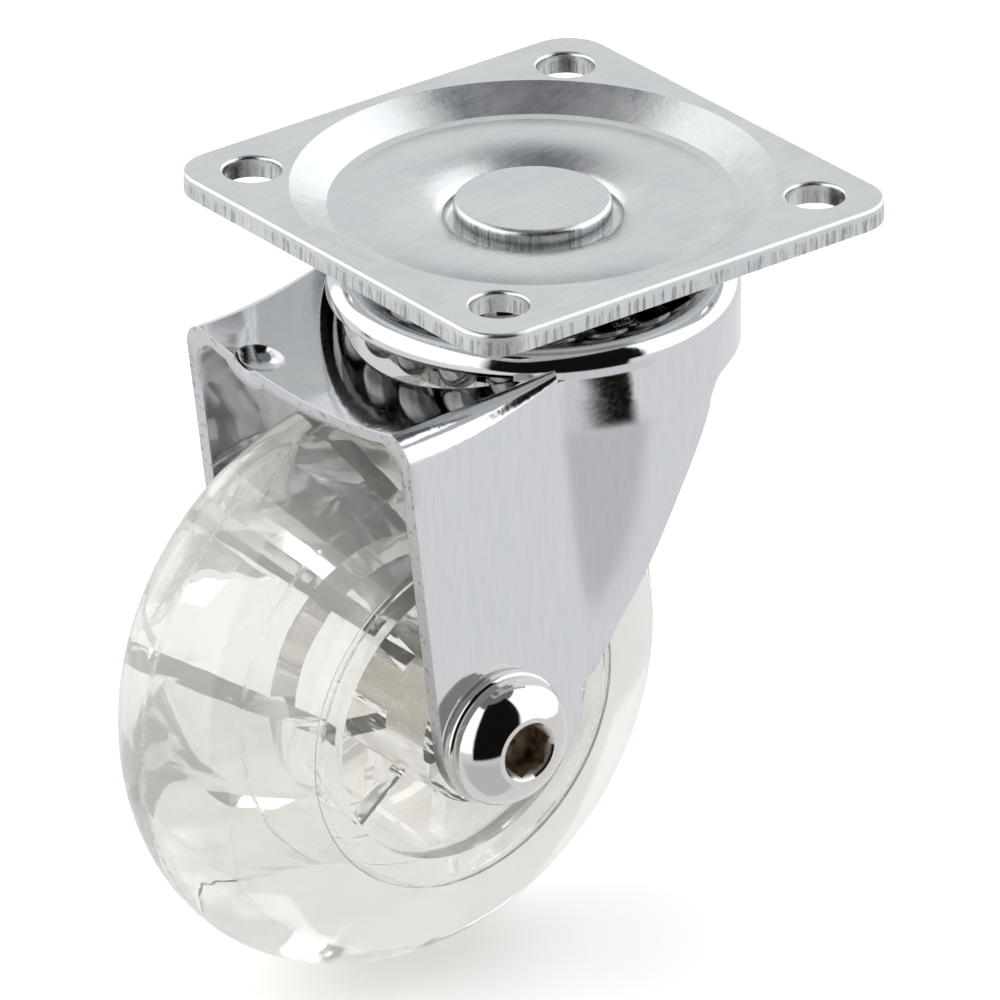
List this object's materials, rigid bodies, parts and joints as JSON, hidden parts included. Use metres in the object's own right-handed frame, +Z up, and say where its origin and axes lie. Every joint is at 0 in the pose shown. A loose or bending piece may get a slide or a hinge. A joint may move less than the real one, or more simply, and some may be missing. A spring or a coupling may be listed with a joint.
{
  "type": "furniture castor",
  "caption": "Swivel plate castor with a chromed pressed fork, open ball races and a clear plastic wheel on a screwed axle",
  "frame": {"origin": "Centre of the top plate's mounting face, on the kingpin's axis", "axes": "+Z up, away from the castor and out of the mounting face; the wheel trails towards -X; the axle lies along Y"},
  "size_m": [0.0611, 0.0427, 0.0639],
  "materials": {
    "satin_zinc": "zinc plated, satin, fine rolled grain",
    "bright_chrome": "bright chrome plate",
    "polished_steel": "polished nickel plate",
    "plain_steel": "turned steel tube",
    "ball_steel": "polished bearing balls",
    "clear_core": "clear, glossy",
    "clear_tread": "clear, faintly warm, glossy"
  },
  "bodies": {
    "plate": {"top_plate": "satin_zinc", "kingpin_rivet": "satin_zinc", "lower_race_cup": "satin_zinc"},
    "fork": {"fork": "bright_chrome", "axle_bolt": "polished_steel", "near_washer": "polished_steel", "far_washer": "polished_steel", "axle_nut": "polished_steel", "axle_sleeve": "plain_steel"},
    "wheel": {"wheel_core": "clear_core", "wheel_tread": "clear_tread"},
    "upper_balls": {"upper_ball_01": "ball_steel", "upper_ball_02": "ball_steel", "upper_ball_03": "ball_steel", "upper_ball_04": "ball_steel", "upper_ball_05": "ball_steel", "upper_ball_06": "ball_steel", "upper_ball_07": "ball_steel", "upper_ball_08": "ball_steel", "upper_ball_09": "ball_steel", "upper_ball_10": "ball_steel", "upper_ball_11": "ball_steel", "upper_ball_12": "ball_steel", "upper_ball_13": "ball_steel", "upper_ball_14": "ball_steel", "upper_ball_15": "ball_steel", "upper_ball_16": "ball_steel", "upper_ball_17": "ball_steel", "upper_ball_18": "ball_steel"},
    "lower_balls": {"lower_ball_01": "ball_steel", "lower_ball_02": "ball_steel", "lower_ball_03": "ball_steel", "lower_ball_04": "ball_steel", "lower_ball_05": "ball_steel", "lower_ball_06": "ball_steel", "lower_ball_07": "ball_steel", "lower_ball_08": "ball_steel", "lower_ball_09": "ball_steel", "lower_ball_10": "ball_steel", "lower_ball_11": "ball_steel", "lower_ball_12": "ball_steel", "lower_ball_13": "ball_steel", "lower_ball_14": "ball_steel", "lower_ball_15": "ball_steel", "lower_ball_16": "ball_steel", "lower_ball_17": "ball_steel", "lower_ball_18": "ball_steel", "lower_ball_19": "ball_steel", "lower_ball_20": "ball_steel", "lower_ball_21": "ball_steel"}
  },
  "joints": [
    {"name": "swivel", "type": "hinge", "parent": "plate", "child": "fork", "pos_m": [0, 0, 0], "axis": [0, 0, 1], "continuous": true},
    {"name": "wheel_spin", "type": "hinge", "parent": "fork", "child": "wheel", "pos_m": [-0.0151, 0, -0.0389], "axis": [0, 1, 0], "continuous": true},
    {"name": "upper_ball_orbit", "type": "hinge", "parent": "plate", "child": "upper_balls", "pos_m": [0, 0, 0], "axis": [0, 0, 1], "continuous": true},
    {"name": "lower_ball_orbit", "type": "hinge", "parent": "plate", "child": "lower_balls", "pos_m": [0, 0, 0], "axis": [0, 0, 1], "continuous": true}
  ],
  "couplings": [
    {"joint": "upper_ball_orbit", "follows": "swivel", "ratio": 0.5},
    {"joint": "lower_ball_orbit", "follows": "swivel", "ratio": 0.5}
  ]
}
